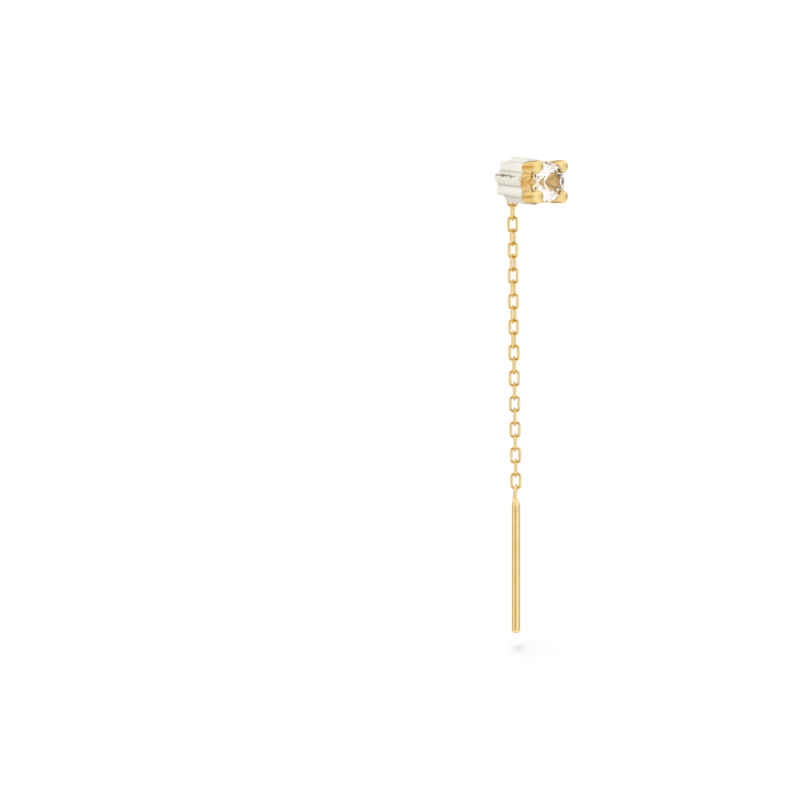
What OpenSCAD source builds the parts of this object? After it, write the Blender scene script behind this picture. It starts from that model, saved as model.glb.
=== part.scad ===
// Threader earring: a square four-prong stud with a round stone, a ribbed clear ear nut on its
// post, a fine cable chain that hangs from the post's drop eye, and a straight threader bar.
//
// Millimetres. +Z is up and the stone faces -Y. The origin is on the post's axis, at the back
// face of the setting, which is where the stud sits on the ear.

/* [Stone] */
// Diameter of the round stone across its girdle
stone_d = 3.5; // [2.8:0.1:4.4]
// Width of the flat table, as a share of the stone's diameter
table_share = 0.5; // [0.46:0.01:0.64]
// Height of the crown, as a share of the stone's diameter
crown_share = 0.16; // [0.12:0.01:0.18]
// Depth of the pavilion, as a share of the stone's diameter
pavilion_share = 0.42; // [0.4:0.01:0.45]
// Thickness of the girdle, the stone's narrow edge
girdle_t = 0.08; // [0.04:0.01:0.16]
// Clearance all round the stone in its seat
stone_gap = 0.03; // [0.02:0.01:0.06]

/* [Setting] */
// Diameter of the four round prongs
prong_d = 1.16; // [0.9:0.02:1.4]
// How far a prong's axis stands outside the stone's edge
prong_out = 0.12; // [0:0.02:0.2]
// Length of a prong in front of the girdle
prong_over = 0.62; // [0.5:0.02:0.9]
// Radius of the dome on a prong's tip
prong_dome = 1.1; // [0.8:0.1:2]
// How far the cup stands outside the stone's edge
cup_out = 0.09; // [0.02:0.01:0.12]
// How far the cup's rim stays behind the girdle
rim_drop = 0.19; // [0.12:0.01:0.3]
// Metal left behind the stone's point
floor_t = 0.12; // [0.08:0.01:0.3]
// Radius of the rounded edges of the cup and the prongs
edge_r = 0.24; // [0.1:0.02:0.3]
// Depth of the V-shaped pocket in each side of the cup
pocket_t = 0.1; // [0.05:0.01:0.12]
// Distance from the cup's back to the point of the V
pocket_back = 0.6; // [0.36:0.02:0.7]
// Angle between the two arms of the V
pocket_angle = 62; // [40:2:80]

/* [Post and drop eye] */
// Diameter of the post
post_d = 0.8; // [0.7:0.02:1]
// Diameter of the hole in the drop eye
eye_hole_d = 0.66; // [0.56:0.02:0.8]
// Diameter of the drop eye's wire
eye_wire_d = 0.25; // [0.2:0.01:0.3]
// How far the drop eye is sunk into the post
eye_sink = 0.08; // [0.06:0.02:0.2]
// Turn of the drop eye about the vertical, away from the post's line, in degrees
eye_turn = 44; // [20:2:50]
// How far the drop eye sits to the side of the post's line
eye_side = 0.3; // [0:0.02:0.3]

/* [Ear nut] */
// Diameter of the ear nut over its ribs
nut_d = 4.06; // [3.4:0.02:5]
// Length of the ear nut along the post
nut_l = 3.2; // [2.4:0.1:5]
// Number of ribs round the ear nut
nut_ribs = 8; // [6:1:12]
// Depth of the valleys between the ribs
nut_valley = 0.38; // [0.2:0.02:0.5]
// Chamfer on the ends of the ribs
nut_chamfer = 0.16; // [0.05:0.01:0.3]
// Clearance between the post and the ear nut's bore
nut_bore_gap = 0.02; // [0.01:0.01:0.06]
// Clearance between the ear nut and what is next to it
nut_gap = 0.04; // [0.02:0.01:0.2]
// Angle by which the soft nut leans sideways on the post, in degrees
nut_yaw = 8; // [0:1:9]
// Angle by which the soft nut leans upwards on the post, in degrees
nut_pitch = 4; // [0:1:6]

/* [Chain] */
// Number of free links
link_count = 23; // [10:1:36]
// Outer length of a link
link_l = 1.67; // [1.5:0.01:2]
// Outer width of a link
link_w = 1; // [0.9:0.01:1.2]
// Diameter of the link wire
link_wire_d = 0.25; // [0.2:0.01:0.28]
// Clearance between one link and the next where they hang
link_gap = 0.03; // [0.02:0.01:0.05]
// Sideways drift of the chain's lower end, where the links have settled askew
hang_drift = 0.32; // [0:0.02:0.4]

/* [Threader bar] */
// Diameter of the bar
bar_d = 0.76; // [0.7:0.02:0.9]
// Length of the bar with its tapered top
bar_l = 12; // [8:0.5:20]
// Height of the tapered top
bar_taper_h = 0.62; // [0.4:0.02:0.9]
// Width of the flat at the very top of the taper
bar_top_d = 0.34; // [0.26:0.02:0.5]
// Radius of the rounded lower end
bar_tip_r = 0.22; // [0.1:0.02:0.3]
// Length of the soldered link that lies in the bar's top
solder_l = 0.46; // [0.36:0.02:0.6]
// Lean of the soldered link, in degrees
solder_lean = 8; // [0:1:10]

/* [Hidden] */
$fn = 48;
eps = 0.01;

link_names = [for (k = [1:link_count]) str("chain_link_", k < 10 ? "0" : "", k)];

gold = [0.93, 0.76, 0.42];
clear_stone = [0.93, 0.94, 0.95];
clear_silicone = [0.86, 0.88, 0.86];

// The stone is an eight-fold round brilliant. Radii are from its axis and heights are from the
// back of the setting. A side point lies half a facet round from a main facet's tip, at the
// height that keeps the main facet flat.
facets = 8;
half_step = 180 / facets;
stone_r = stone_d / 2;
table_r = stone_r * table_share;
star_r = (stone_r + table_r * cos(half_step)) / 2;
lower_r = stone_r * 0.24;
crown_h = stone_d * crown_share;
pavilion_h = stone_d * pavilion_share;
culet_z = floor_t;
girdle_low_z = culet_z + pavilion_h;
girdle_top_z = girdle_low_z + girdle_t;
table_z = girdle_top_z + crown_h;
star_z = girdle_top_z + crown_h * (stone_r - star_r * cos(half_step)) / (stone_r - table_r);
lower_z = girdle_low_z - pavilion_h * (stone_r - lower_r * cos(half_step)) / stone_r;

// The setting follows the stone.
prong_r = prong_d / 2;
prong_at = (stone_r + prong_out) / sqrt(2);
prong_l = girdle_top_z + prong_over;
cup_r = stone_r + cup_out;
cup_h = girdle_low_z - rim_drop;
post_r = post_d / 2;

// The nut leans about the middle of its front face, so its edges reach out along the post.
nut_r = nut_d / 2;
nut_tilt_reach = nut_r * norm([sin(nut_yaw), sin(nut_pitch)]);
nut_front = nut_gap + nut_tilt_reach;
nut_back = nut_front + nut_l + nut_r * tan(nut_pitch) + link_w / 2 * tan(nut_yaw);

// Links alternate between two planes at right angles, and the upper ones are still twisted. A
// row of the table is a link's number and its twist in degrees. Values between rows follow.
face_turn = -36;
link_twist = [[1, 8], [5, 26], [8, 17], [11, 24], [13, 4], [20, 0], [24, 6]];
function link_turn(k) = face_turn + (k % 2 == 0 ? 90 : 0) - lookup(k, link_twist);
function link_shift(k) = hang_drift * pow(k / (link_count + 1), 1.5);

// The chain hangs just behind the ear nut, from the drop eye under the end of the post.
eye_r = (eye_hole_d + eye_wire_d) / 2;
eye_z = eye_sink - post_r - eye_hole_d / 2;
link_r = (link_w - link_wire_d) / 2;
link_reach = link_r * abs(sin(link_turn(1))) + link_wire_d / 2;
eye_reach = (eye_r + eye_wire_d / 2) * cos(eye_turn);
chain_y = nut_back + nut_gap + max(link_reach, eye_reach);
post_end = chain_y + eye_wire_d / 2;
link_pitch = link_l - 2 * link_wire_d - link_gap;
link_top_z = eye_z - eye_hole_d / 2 + link_gap;
link_first_z = link_top_z - link_l / 2 + link_wire_d;
function link_z(k) = link_first_z - (k - 1) * link_pitch;

// The soldered link is one place further down, and leans about the point it hangs from.
bar_link = link_count + 1;
hang_z = link_z(bar_link) + link_l / 2 - link_wire_d;
bar_top_z = link_z(bar_link) - link_l / 2 + solder_l;
bar_r = bar_d / 2;

// Turns a shape that was made face up so that its face looks along -Y
module face_front() {
    rotate([90, 0, 0]) children();
}

// A round rod that stands on the origin, with its lower and upper edges rounded
module turned_rod(r, l, low, high) {
    rotate_extrude() intersection() {
        square([r, l]);
        union() {
            translate([0, low]) square([r, l - low - high]);
            square([r - low, l]);
            square([r - high, l]);
            translate([r - low, low]) circle(low);
            translate([r - high, l - high]) circle(high);
        }
    }
}

// Points of a ring round the axis, the first one at the angle start
function ring(r, z, n, start = 0) = [for (i = [0:n - 1])
    [r * cos(start + i * 360 / n), r * sin(start + i * 360 / n), z]];

module round_stone() {
    table = ring(table_r, table_z, facets);
    star = ring(star_r, star_z, facets, half_step);
    upper = ring(stone_r, girdle_top_z, 2 * facets);
    under = ring(stone_r, girdle_low_z, 2 * facets);
    lower = ring(lower_r, lower_z, facets, half_step);
    points = concat(table, star, upper, under, lower, [[0, 0, culet_z]]);
    // First index of each ring in the list of points
    s = facets;
    u = s + facets;
    d = u + 2 * facets;
    w = d + 2 * facets;
    culet = w + facets;
    last = facets - 1;
    function next(i) = (i + 1) % facets;
    function prev(i) = (i + last) % facets;
    function step(i) = (i + 1) % (2 * facets);
    color(clear_stone) face_front() polyhedron(points, concat(
        [[for (i = [last:-1:0]) i]],
        [for (i = [0:last]) [i, next(i), s + i]],
        [for (i = [0:last]) [i, s + i, u + 2 * i, s + prev(i)]],
        [for (i = [0:last]) [s + i, u + 2 * i + 1, u + 2 * i]],
        [for (i = [0:last]) [s + i, u + 2 * next(i), u + 2 * i + 1]],
        [for (i = [0:2 * facets - 1]) [u + i, u + step(i), d + step(i), d + i]],
        [for (i = [0:last]) [d + 2 * i, d + 2 * i + 1, w + i]],
        [for (i = [0:last]) [d + 2 * i + 1, d + 2 * next(i), w + i]],
        [for (i = [0:last]) [d + 2 * i, w + i, culet, w + prev(i)]]
    ));
}

// The room that the stone needs, turned round its axis and a clearance larger than the stone
module stone_room() {
    g = stone_gap;
    rotate_extrude() polygon([
        [0, culet_z - g],
        [lower_r + g, lower_z - g / 2],
        [stone_r + g, girdle_low_z - g / 2],
        [stone_r + g, girdle_top_z + g / 2],
        [star_r + g / 2, star_z + g],
        [table_r + g / 2, table_z + g],
        [0, table_z + g]
    ]);
}

// A shallow V pocket in the cup's right-hand side, open towards the front
module side_pocket() {
    arm_h = cup_h - pocket_back + eps;
    arm_w = arm_h * tan(pocket_angle / 2);
    difference() {
        rotate([90, 0, 90]) linear_extrude(cup_r + eps)
            polygon([[0, pocket_back], [arm_w, pocket_back + arm_h], [-arm_w, pocket_back + arm_h]]);
        translate([0, 0, -eps]) cylinder(r = cup_r - pocket_t, h = cup_h + 3 * eps);
    }
}

module prong() {
    intersection() {
        turned_rod(prong_r, prong_l, edge_r, edge_r);
        translate([0, 0, prong_l - prong_dome]) union() {
            sphere(prong_dome);
            translate([0, 0, -prong_l]) cylinder(r = prong_dome, h = prong_l);
        }
    }
}

module cup_with_pockets() {
    difference() {
        turned_rod(cup_r, cup_h, edge_r, eps);
        for (i = [0:3]) rotate([0, 0, 90 * i]) side_pocket();
    }
}

// The drop eye is a ring under the end of the post, and the chain hangs from its lowest point
module drop_eye() {
    translate([eye_side, chain_y, eye_z]) rotate([90, 0, 90 - eye_turn])
        rotate_extrude() translate([eye_r, 0]) circle(d = eye_wire_d);
}

module stud_setting() {
    color(gold) {
        face_front() difference() {
            union() {
                cup_with_pockets();
                for (x = [-prong_at, prong_at], y = [-prong_at, prong_at])
                    translate([x, y, 0]) prong();
            }
            stone_room();
        }
        translate([0, post_end, 0]) face_front()
            turned_rod(post_r, post_end + floor_t / 3, eye_wire_d / 2, eps);
        drop_eye();
    }
}

// One rib and the valley after it, as points of the nut's outline
function rib_points(i) = [
    for (corner = [[nut_r, -5], [nut_r, 5], [nut_r - nut_valley, 180 / nut_ribs - 3],
            [nut_r - nut_valley, 180 / nut_ribs + 3]])
        corner[0] * [-sin(rib_angle(i) + corner[1]), cos(rib_angle(i) + corner[1])]
];
function rib_angle(i) = 37 + i * 360 / nut_ribs;

// The ribbed body, with its front face on the origin
module nut_body() {
    c = nut_chamfer;
    translate([0, 0, -nut_l]) intersection() {
        linear_extrude(nut_l)
            polygon([for (i = [0:nut_ribs - 1], p = rib_points(i)) p]);
        rotate_extrude()
            polygon([[0, 0], [nut_r - c, 0], [nut_r, c], [nut_r, nut_l - c], [nut_r - c, nut_l],
                [0, nut_l]]);
    }
}

module ear_nut() {
    color(clear_silicone) face_front() difference() {
        translate([0, 0, -nut_front]) rotate([nut_pitch, nut_yaw, 0]) nut_body();
        translate([0, 0, -post_end]) cylinder(r = post_r + nut_bore_gap, h = post_end);
    }
}

// One oval link in the XZ plane, centred on the origin
module oval_link() {
    straight = link_l - link_w;
    for (side = [0, 180]) rotate([0, side, 0]) {
        translate([0, 0, straight / 2]) rotate([90, 0, 0])
            rotate_extrude(angle = 180) translate([link_r, 0]) circle(d = link_wire_d);
        translate([link_r, 0, -straight / 2]) cylinder(d = link_wire_d, h = straight);
    }
}

// A place on the chain: link k is turned about the vertical and has drifted along the face plane
module on_chain(k, z) {
    drift = link_shift(k);
    translate([eye_side + drift * cos(face_turn), chain_y + drift * sin(face_turn), z])
        children();
}

module chain_link(k) {
    color(gold) on_chain(k, link_z(k)) rotate([0, 0, link_turn(k)]) oval_link();
}

module bar_body() {
    rotate_extrude() {
        polygon([[0, -bar_taper_h - eps], [bar_r, -bar_taper_h - eps], [bar_r, -bar_taper_h],
            [bar_top_d / 2, 0], [0, 0]]);
    }
    translate([0, 0, -bar_l]) turned_rod(bar_r, bar_l - bar_taper_h, bar_tip_r, eps);
}

module threader_bar() {
    color(gold) {
        on_chain(bar_link, hang_z) rotate([0, 0, face_turn]) rotate([0, solder_lean, 0])
            rotate([0, 0, link_turn(bar_link) - face_turn])
                translate([0, 0, link_wire_d - link_l / 2]) oval_link();
        on_chain(bar_link, bar_top_z) bar_body();
    }
}

stud_setting();
round_stone();
ear_nut();
for (k = [1:link_count])
    chain_link(k);
threader_bar();
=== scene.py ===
# %% [markdown]
# # A threader earring, dressed in Blender
#
# The earring is a small four-prong stud with a round clear stone. Its post carries a ribbed clear
# ear nut, and from the end of the post hang a fine cable chain and a straight threader bar. The
# CAD model holds the true places and sizes. This lesson gives each piece the surface that the real
# one has: soft blends where metal was cast or soldered, ground facets, drawn wire, moulded
# silicone. Sizes are in millimetres here, and `mesh_piece` turns them into Blender's metres. The
# stone faces -Y, and up is +Z.

# %% Load the frame
import math
import bmesh
import bpy
import numpy as np
from mathutils import Matrix, Vector


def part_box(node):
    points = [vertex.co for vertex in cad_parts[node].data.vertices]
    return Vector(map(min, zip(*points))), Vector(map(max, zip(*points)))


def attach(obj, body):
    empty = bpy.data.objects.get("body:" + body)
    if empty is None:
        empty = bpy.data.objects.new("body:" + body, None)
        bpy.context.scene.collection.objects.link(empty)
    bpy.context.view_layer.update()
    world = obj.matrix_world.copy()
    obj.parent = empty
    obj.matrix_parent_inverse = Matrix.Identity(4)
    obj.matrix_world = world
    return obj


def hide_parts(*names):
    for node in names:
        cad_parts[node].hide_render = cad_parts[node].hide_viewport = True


MM = 0.001
STUD_BODY = "stud_and_chain"
BAR_BODY = "threader_bar"

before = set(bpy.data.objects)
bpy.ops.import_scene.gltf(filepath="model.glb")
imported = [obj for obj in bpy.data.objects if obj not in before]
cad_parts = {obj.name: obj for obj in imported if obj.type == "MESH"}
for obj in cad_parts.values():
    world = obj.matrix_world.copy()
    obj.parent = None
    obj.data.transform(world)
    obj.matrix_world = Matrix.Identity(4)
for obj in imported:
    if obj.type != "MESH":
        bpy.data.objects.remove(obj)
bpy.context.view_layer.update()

# %% [markdown]
# ## Metal as a melted form
#
# Cast and soldered metal has no sharp inner corners: wax, solder and polishing round every place
# where two forms meet. Booleans leave such corners sharp, and bevels on their edges often break.
# So the metal is described by a distance function, as wax is: the function gives the distance to
# the surface from any point, and it is negative inside. Forms are then melted together with a
# small blend, and other forms are cut out of them.

# %% Distance functions of simple forms
def lengths(*parts):
    """The lengths of vectors whose parts are arrays."""
    return np.sqrt(sum(part * part for part in parts))


def drawn_out(outline, along, start, end, edge):
    """An outline's distance, drawn out from start to end, with its edges rounded by edge."""
    out = outline + edge
    past = abs(along - (start + end) / 2) - (end - start) / 2 + edge
    return lengths(np.maximum(out, 0), np.maximum(past, 0)) + np.minimum(np.maximum(out, past), 0) - edge


reach = np.array([0, 0.5, 1, 1.5])
print("from a rod of 1 mm radius, at", reach, "mm:", drawn_out(reach - 1, 0 * reach, -2, 2, 0.1).round(2))

# %% Melt, cut and trim
def melt(a, b, blend):
    """Two forms joined, with a fillet about as wide as blend where they meet."""
    mix = np.maximum(blend - abs(a - b), 0) / blend
    return np.minimum(a, b) - mix * mix * blend / 4


def cut(a, b, blend):
    """The form a with b cut out of it, and the cut's edge eased by blend."""
    return -melt(-a, b, blend)


def common(a, b, blend):
    """What lies in both forms, with the edge between them eased."""
    return -melt(-a, -b, blend)


print("where two surfaces meet, a blend of 0.2 mm adds", -melt(0, 0, 0.2), "mm of metal")

# %% [markdown]
# ## A skin for the distance function
#
# A distance function can't be seen, so it needs a mesh where it is zero. Metaballs and remeshing
# would give one too, but they blur thin wire. `skin` works on a grid instead: it puts one point in
# each cell that the surface passes through, and a quad round each grid edge that crosses it.
# `settle` then slides the points along the slope until they lie on the surface, so the mesh is
# smooth and exact, and all of its faces are quads of about one size.

# %% Settle points on the surface
SETTLE_ROUNDS = 4
LEAST_SLOPE = 0.05


def settle(distance, points, step):
    """Slides points along the distance's slope until they lie on its zero surface. A point moves
    half a step at most in one round, and hardly at all where there is next to no slope."""
    probe = step / 20
    for _ in range(SETTLE_ROUNDS):
        value = distance(points)
        slope = np.stack([distance(points + probe * axis) - value for axis in np.eye(3)], -1) / probe
        move = value[:, None] * slope / np.maximum((slope * slope).sum(-1), LEAST_SLOPE)[:, None]
        size = np.maximum(np.linalg.norm(move, axis=1), 1e-9)
        points = points - move * np.minimum(1, step / 2 / size)[:, None]
    return points


def ball_distance(p):
    """A ball of 1 mm radius, to try the tools on."""
    return np.linalg.norm(p, axis=-1) - 1


tried = settle(ball_distance, np.array([[1.3, 0, 0]]), 0.2)
print("a point 1.3 mm from the ball's middle settles", tried[0][0].round(4), "mm from it")

# %% Lay quads over it
def skin(distance, low, high, step):
    """Points and quads on the zero surface of distance, inside the box from low to high."""
    axes = [np.arange(a, b + step, step) for a, b in zip(low, high)]
    value = distance(np.stack(np.meshgrid(*axes, indexing="ij"), -1))
    cells = [len(axis) - 1 for axis in axes]
    total, hits = np.zeros(cells + [3]), np.zeros(cells)
    edges = []
    for axis in range(3):
        u, v = [k for k in range(3) if k != axis]
        first = np.moveaxis(value, (axis, u, v), (0, 1, 2))
        crossing = np.argwhere((first[:-1] < 0) != (first[1:] < 0))
        near, far = first[tuple(crossing.T)], first[tuple((crossing + [1, 0, 0]).T)]
        place = np.empty_like(crossing)
        place[:, [axis, u, v]] = crossing
        at = np.array([axes[k][place[:, k]] for k in range(3)]).T
        at[:, axis] += step * near / (near - far)
        around = []
        for du, dv in ((0, 0), (1, 0), (1, 1), (0, 1)):
            cell = place.copy()
            cell[:, u] -= du
            cell[:, v] -= dv
            np.add.at(total, tuple(cell.T), at)
            np.add.at(hits, tuple(cell.T), 1)
            around.append(cell)
        # The quads of every axis have to face outwards, and the middle axis runs the other way
        flip = (near < 0) == (axis == 1)
        edges.append((np.array(around), flip))
    number = np.cumsum(hits.ravel() > 0).reshape(cells) - 1
    points = total[hits > 0] / hits[hits > 0][:, None]
    quads = []
    for around, flip in edges:
        ring = np.array([number[tuple(cell.T)] for cell in around]).T
        quads.append(np.where(flip[:, None], ring[:, ::-1], ring))
    return settle(distance, points, step), np.concatenate(quads).tolist()


ball, ball_quads = skin(ball_distance, [-1.2] * 3, [1.2] * 3, 0.2)
print(f"the ball has {len(ball_quads)} quads, off by at most {abs(ball_distance(ball)).max():.6f} mm")

# %% Make a mesh object
def mesh_piece(name, points, faces, smooth=True):
    """A mesh object whose points are given in millimetres."""
    mesh = bpy.data.meshes.new(name)
    mesh.from_pydata((np.asarray(points, float) * MM).tolist(), [], faces)
    mesh.polygons.foreach_set("use_smooth", [smooth] * len(mesh.polygons))
    mesh.update()
    piece = bpy.data.objects.new(name, mesh)
    bpy.context.scene.collection.objects.link(piece)
    print(f"{name}: {len(mesh.vertices)} points, {len(mesh.polygons)} faces")
    return piece


def node_box(name):
    """The low and high corner of a CAD node, in millimetres."""
    low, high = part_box(name)
    return np.array(low) / MM, np.array(high) / MM


print("the CAD's setting lies from", *(corner.round(2) for corner in node_box("stud_setting")), "mm")

# %% [markdown]
# ## The setting
#
# A cup holds the stone, and four round prongs stand at its corners with their ends pushed over
# the stone's edge. Behind it are the post that goes through the ear and the small ring, the drop
# eye, that the chain hangs from. On the real piece all of this is one casting with a soldered
# post. Cylinders and a torus would give the right sizes but hard seams, so they are melted
# together here, and the stone's seat and the V-shaped pockets in the sides are cut out of the
# metal, in the order that a jeweller works in. The stone's sizes come first, because the setting
# is made to fit it. Heights on the stone are distances forward from the back of the setting.

# %% Sizes of the stone
STONE_R = 1.75
TABLE_R = STONE_R * 0.5
CROWN_H = 0.56
PAVILION_H = 1.47
GIRDLE_T = 0.08
CULET = 0.12
GIRDLE_LOW = CULET + PAVILION_H
GIRDLE_TOP = GIRDLE_LOW + GIRDLE_T
TABLE = GIRDLE_TOP + CROWN_H
print("the stone is", 2 * STONE_R, "mm wide and", round(TABLE - CULET, 2), "mm deep")

# %% The seat that is cut for the stone
SEAT_GAP = 0.03
# A form whose end is shaped by another form is drawn out this much further
SPARE = 1


def outline_distance(across, along, corners):
    """The distance from a turned form whose outline is a polygon of (across, along) corners."""
    nearest = np.full(across.shape, np.inf)
    inside = np.zeros(across.shape, bool)
    for (ax, ay), (bx, by) in zip(corners, corners[1:] + corners[:1]):
        ex, ey = bx - ax, by - ay
        share = np.clip(((across - ax) * ex + (along - ay) * ey) / (ex * ex + ey * ey), 0, 1)
        nearest = np.minimum(nearest, lengths(across - ax - share * ex, along - ay - share * ey))
        if ey:
            beside = (along > ay) != (along > by)
            inside ^= beside & (across < ax + (along - ay) * ex / ey)
    return np.where(inside, -nearest, nearest)


def seat_outline():
    """The turned room that the stone needs, a little larger than the stone."""
    slope = (STONE_R - TABLE_R) / CROWN_H
    return [(0, CULET - SEAT_GAP), (STONE_R + SEAT_GAP, GIRDLE_LOW - SEAT_GAP / 2),
            (STONE_R + SEAT_GAP, GIRDLE_TOP + SEAT_GAP / 2), (TABLE_R + SEAT_GAP, TABLE + SEAT_GAP),
            (TABLE_R - slope * SPARE, TABLE + SPARE), (0, TABLE + SPARE)]


print("the seat's corners:", [(round(across, 3), round(along, 3)) for across, along in seat_outline()])

# %% The cup and its pockets
CUP_R = STONE_R + 0.09
CUP_H = GIRDLE_LOW - 0.19
CUP_FOOT_EDGE = 0.12
CUP_RIM_EDGE = 0.05
POCKET_T = 0.13
POCKET_BACK = 0.6
POCKET_HALF = math.radians(31)
POCKET_EASE = 0.03


def pocket_distance(around, side, forward):
    """The V-shaped pockets: open to the front, and POCKET_T deep in the cup's wall."""
    arms = abs(side) * math.cos(POCKET_HALF) - (forward - POCKET_BACK) * math.sin(POCKET_HALF)
    return np.maximum(arms, CUP_R - POCKET_T - around)


def cup_distance(x, z, forward):
    """The round cup, with a pocket on each of its four sides."""
    around = lengths(x, z)
    rim = drawn_out(around - CUP_R, forward, 0, CUP_H, CUP_RIM_EDGE)
    foot = drawn_out(around - CUP_R, forward, 0, 2 * CUP_H, CUP_FOOT_EDGE)
    cup = np.maximum(rim, foot)
    cup = cut(cup, pocket_distance(around, x, forward), POCKET_EASE)
    return cut(cup, pocket_distance(around, z, forward), POCKET_EASE)


print("the cup is", 2 * CUP_R, "mm wide and", round(CUP_H, 2), "mm deep")

# %% The prongs
PRONG_R = 0.58
PRONG_AT = (STONE_R + 0.12) / math.sqrt(2)
PRONG_END = GIRDLE_TOP + 0.62
PRONG_EDGE = 0.3
DOME_R = 1.1
DOME_EASE = 0.06
FOOT_SLIM = 0.12
FOOT_H = 1.1
# How far from the stone's axis a tip is filed off: the left ones, then the right ones, low and high
TIP_FILED = np.array([[1.26, 1.42], [1.55, 1.6]])
TIP_EASE = 0.05


def prong_distance(x, z, forward):
    """Four round prongs. Each is slimmer at its foot, domed in front, and filed off where it would
    hide the stone."""
    beside = lengths(abs(x) - PRONG_AT, abs(z) - PRONG_AT)
    slim = FOOT_SLIM * np.maximum(1 - np.maximum(forward, 0) / FOOT_H, 0) ** 2
    rod = drawn_out(beside + slim - PRONG_R, forward, 0, PRONG_END, PRONG_EDGE)
    dome = lengths(beside, np.maximum(forward - PRONG_END + DOME_R, 0)) - DOME_R
    filed = TIP_FILED[(x > 0).astype(int), (z > 0).astype(int)] - (abs(x) + abs(z)) / math.sqrt(2)
    return common(common(rod, dome, DOME_EASE), np.where(forward > GIRDLE_LOW, filed, -1), TIP_EASE)


print("the prongs stand", round(PRONG_AT, 3), "mm to each side and reach", round(PRONG_END, 2), "mm forward")

# %% The post and the drop eye
POST_R = 0.4
EYE_WIRE_R = 0.125
EYE_R = 0.455
EYE_SIDE = 0.3
EYE_SINK = 0.08
EYE_TURN = math.radians(46)
EYE_MELT = 0.08
setting_low, setting_high = node_box("stud_setting")
eye_y = setting_high[1] - EYE_R * math.sin(EYE_TURN) - EYE_WIRE_R
eye_z = EYE_SINK - POST_R - EYE_R + EYE_WIRE_R
POST_END = eye_y + EYE_WIRE_R


def post_distance(p):
    """The post, and under its end the eye, a ring that is turned away from the post's line."""
    post = drawn_out(lengths(p[..., 0], p[..., 2]) - POST_R, p[..., 1], -CULET / 2, POST_END, EYE_WIRE_R)
    ex, ey, ez = p[..., 0] - EYE_SIDE, p[..., 1] - eye_y, p[..., 2] - eye_z
    flat = ex * math.cos(EYE_TURN) + ey * math.sin(EYE_TURN)
    thick = ex * math.sin(EYE_TURN) - ey * math.cos(EYE_TURN)
    eye = lengths(lengths(flat, ez) - EYE_R, thick) - EYE_WIRE_R
    return melt(post, eye, EYE_MELT)


print("the drop eye's middle is at", [EYE_SIDE, round(eye_y, 3), round(eye_z, 3)], "mm")

# %% Cast the setting
LIFT = 0.045
PRONG_MELT = 0.2
SEAT_EASE = 0.04
POST_MELT = 0.12
MARGIN = 0.12
METAL_STEP = 0.036


def setting_distance(p):
    """The whole casting. Its head rises by LIFT with every millimetre forward."""
    x, forward = p[..., 0], -p[..., 1]
    z = p[..., 2] - LIFT * np.maximum(forward, 0)
    metal = melt(cup_distance(x, z, forward), prong_distance(x, z, forward), PRONG_MELT)
    metal = cut(metal, outline_distance(lengths(x, z), forward, seat_outline()), SEAT_EASE)
    return melt(metal, post_distance(p), POST_MELT)


points, quads = skin(setting_distance, setting_low - MARGIN, setting_high + MARGIN, METAL_STEP)
setting = mesh_piece("setting", points, quads)

# %% [markdown]
# ## The stone
#
# A round brilliant is ground from a turned blank, one flat facet after another: the table, eight
# bezel, eight star and sixteen upper girdle facets in front, eight mains and sixteen lower girdle
# facets behind. Cutting a blank with planes does just that. It also leaves the thin scalloped
# girdle that a mesh built from rings of points would miss, and the crystal needs exactly flat
# faces to throw its reflections the way a stone does. The stone is ground upright, and then laid
# into the setting with its table to the front.

# %% The blank and the grinding plane
BLANK_SIDES = 96


def turned_blank(radius, start, end):
    blank = bmesh.new()
    bmesh.ops.create_cone(blank, cap_ends=True, segments=BLANK_SIDES, radius1=radius, radius2=radius,
                          depth=end - start)
    bmesh.ops.translate(blank, verts=blank.verts, vec=(0, 0, (start + end) / 2))
    return blank


def grind_plane(stone, point, normal):
    """Takes off all that lies beyond a plane, and closes the cut with a flat facet."""
    geometry = stone.verts[:] + stone.edges[:] + stone.faces[:]
    found = bmesh.ops.bisect_plane(stone, geom=geometry, plane_co=point, plane_no=normal,
                                   clear_outer=True, dist=1e-6)
    rim = [part for part in found["geom_cut"] if isinstance(part, bmesh.types.BMEdge)]
    bmesh.ops.contextual_create(stone, geom=rim)


def grind(stone, angle, inner, outer):
    """Cuts one facet at an angle round the axis, through two (radius, height) points of its slope."""
    (r1, z1), (r2, z2) = inner, outer
    rise = z1 - z2
    out = Vector((math.cos(angle), math.sin(angle), 0))
    normal = out * abs(rise) + Vector((0, 0, (r2 - r1) * math.copysign(1, rise)))
    grind_plane(stone, out * r2 + Vector((0, 0, z2)), normal.normalized())


stone = turned_blank(STONE_R, CULET, TABLE)
print("the blank has", len(stone.faces), "faces")

# %% Grind the main and the star facets
HALF_TURN = math.pi / 8
STAR_R = (STONE_R + TABLE_R * math.cos(HALF_TURN)) / 2
LOWER_R = STONE_R * 0.24


def height_on_main(radius, foot, rise, inner_r):
    """The height of a main facet at a point half a facet round from its tip."""
    return foot + rise * (STONE_R - radius * math.cos(HALF_TURN)) / (STONE_R - inner_r)


star_z = height_on_main(STAR_R, GIRDLE_TOP, CROWN_H, TABLE_R)
lower_z = height_on_main(LOWER_R, GIRDLE_LOW, -PAVILION_H, 0)
for k in range(8):
    grind(stone, 2 * k * HALF_TURN, (TABLE_R, TABLE), (STONE_R, GIRDLE_TOP))
    grind(stone, 2 * k * HALF_TURN, (0, CULET), (STONE_R, GIRDLE_LOW))
for k in range(8):
    grind(stone, (2 * k + 1) * HALF_TURN, (TABLE_R * math.cos(HALF_TURN), TABLE), (STAR_R, star_z))
print("with main and star facets it has", len(stone.faces), "faces")

# %% Grind the girdle facets
def around_axis(radius, angle, height):
    return Vector((radius * math.cos(angle), radius * math.sin(angle), height))


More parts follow.
